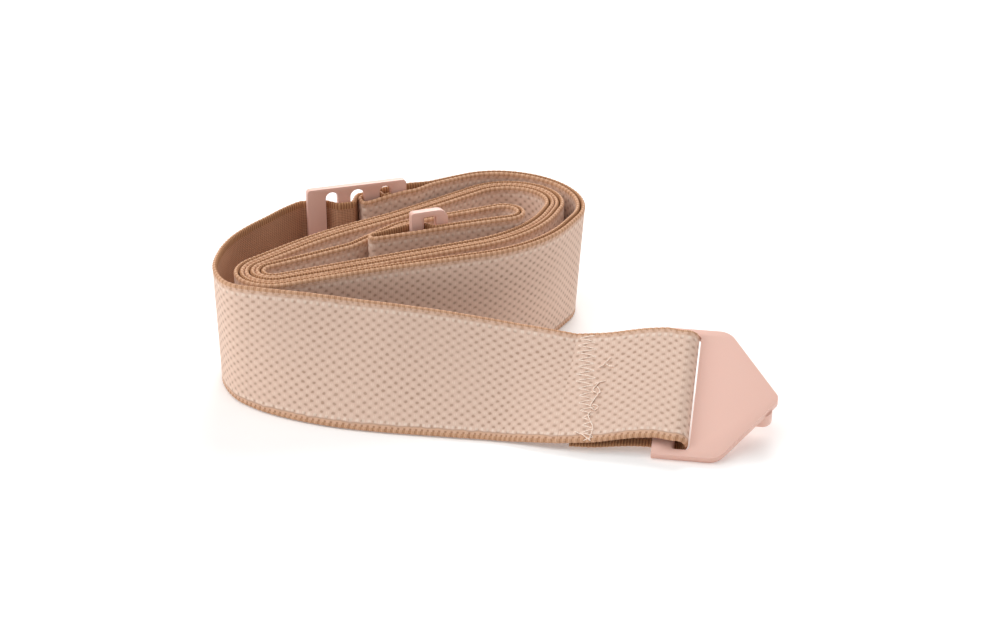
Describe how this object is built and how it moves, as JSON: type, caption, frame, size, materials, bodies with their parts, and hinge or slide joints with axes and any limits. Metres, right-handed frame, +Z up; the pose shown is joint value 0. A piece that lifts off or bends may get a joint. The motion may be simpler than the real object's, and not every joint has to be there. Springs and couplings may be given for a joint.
{
  "type": "adjustable elastic hook belt",
  "caption": "Wide elastic belt lying on its edge in a flattened coil, with a hook plate, an eye plate to match and a slotted slider that sets its length.",
  "frame": {"origin": "On the floor under the middle of the lying belt's box.", "axes": "+X runs from the coil's folded left end towards the free hook's side, +Y away from the viewer of the picture, +Z up."},
  "size_m": [0.1309, 0.1017, 0.036],
  "materials": {
    "webbing": "woven elastic, rose beige with a dotted face, plain brown back and tan beaded edges",
    "plastic": "smooth matt moulded plastic, pale pink",
    "thread": "cream sewing thread"
  },
  "bodies": {
    "coil": {"coil_outer_layer": "webbing", "coil_inner_layer": "webbing", "outer_turn": "webbing", "slider_lead": "webbing", "inner_loop": "webbing"},
    "free_end": {"free_run": "webbing", "front_loop": "webbing", "front_seam": "thread"},
    "front_hook": {"front_hook_plate": "plastic"},
    "eye": {"eye_plate": "plastic"},
    "slider": {"slider_plate": "plastic", "slider_weave": "webbing", "slider_loop": "webbing", "slider_seam": "thread"}
  },
  "joints": [
    {"name": "free_end_swing", "type": "hinge", "parent": "coil", "child": "free_end", "pos_m": [-0.0605, -0.0186, 0.015], "axis": [0, 0, -1], "range_deg": [0, 35]},
    {"name": "front_hook_swing", "type": "hinge", "parent": "free_end", "child": "front_hook", "pos_m": [0.04263, -0.03453, 0.00947], "axis": [0.1504, 0.8529, 0.5], "range_deg": [-60, 6], "deforming": ["front_loop"]},
    {"name": "slider_slide", "type": "slide", "parent": "coil", "child": "slider", "axis": [0.9455, 0.3256, 0], "range_m": [-0.004, 0], "deforming": ["slider_lead"]},
    {"name": "eye_swing", "type": "hinge", "parent": "coil", "child": "eye", "pos_m": [-0.01707, 0.01039, 0.018], "axis": [0, 0, 1], "range_deg": [0, 36], "deforming": ["inner_loop"]}
  ]
}
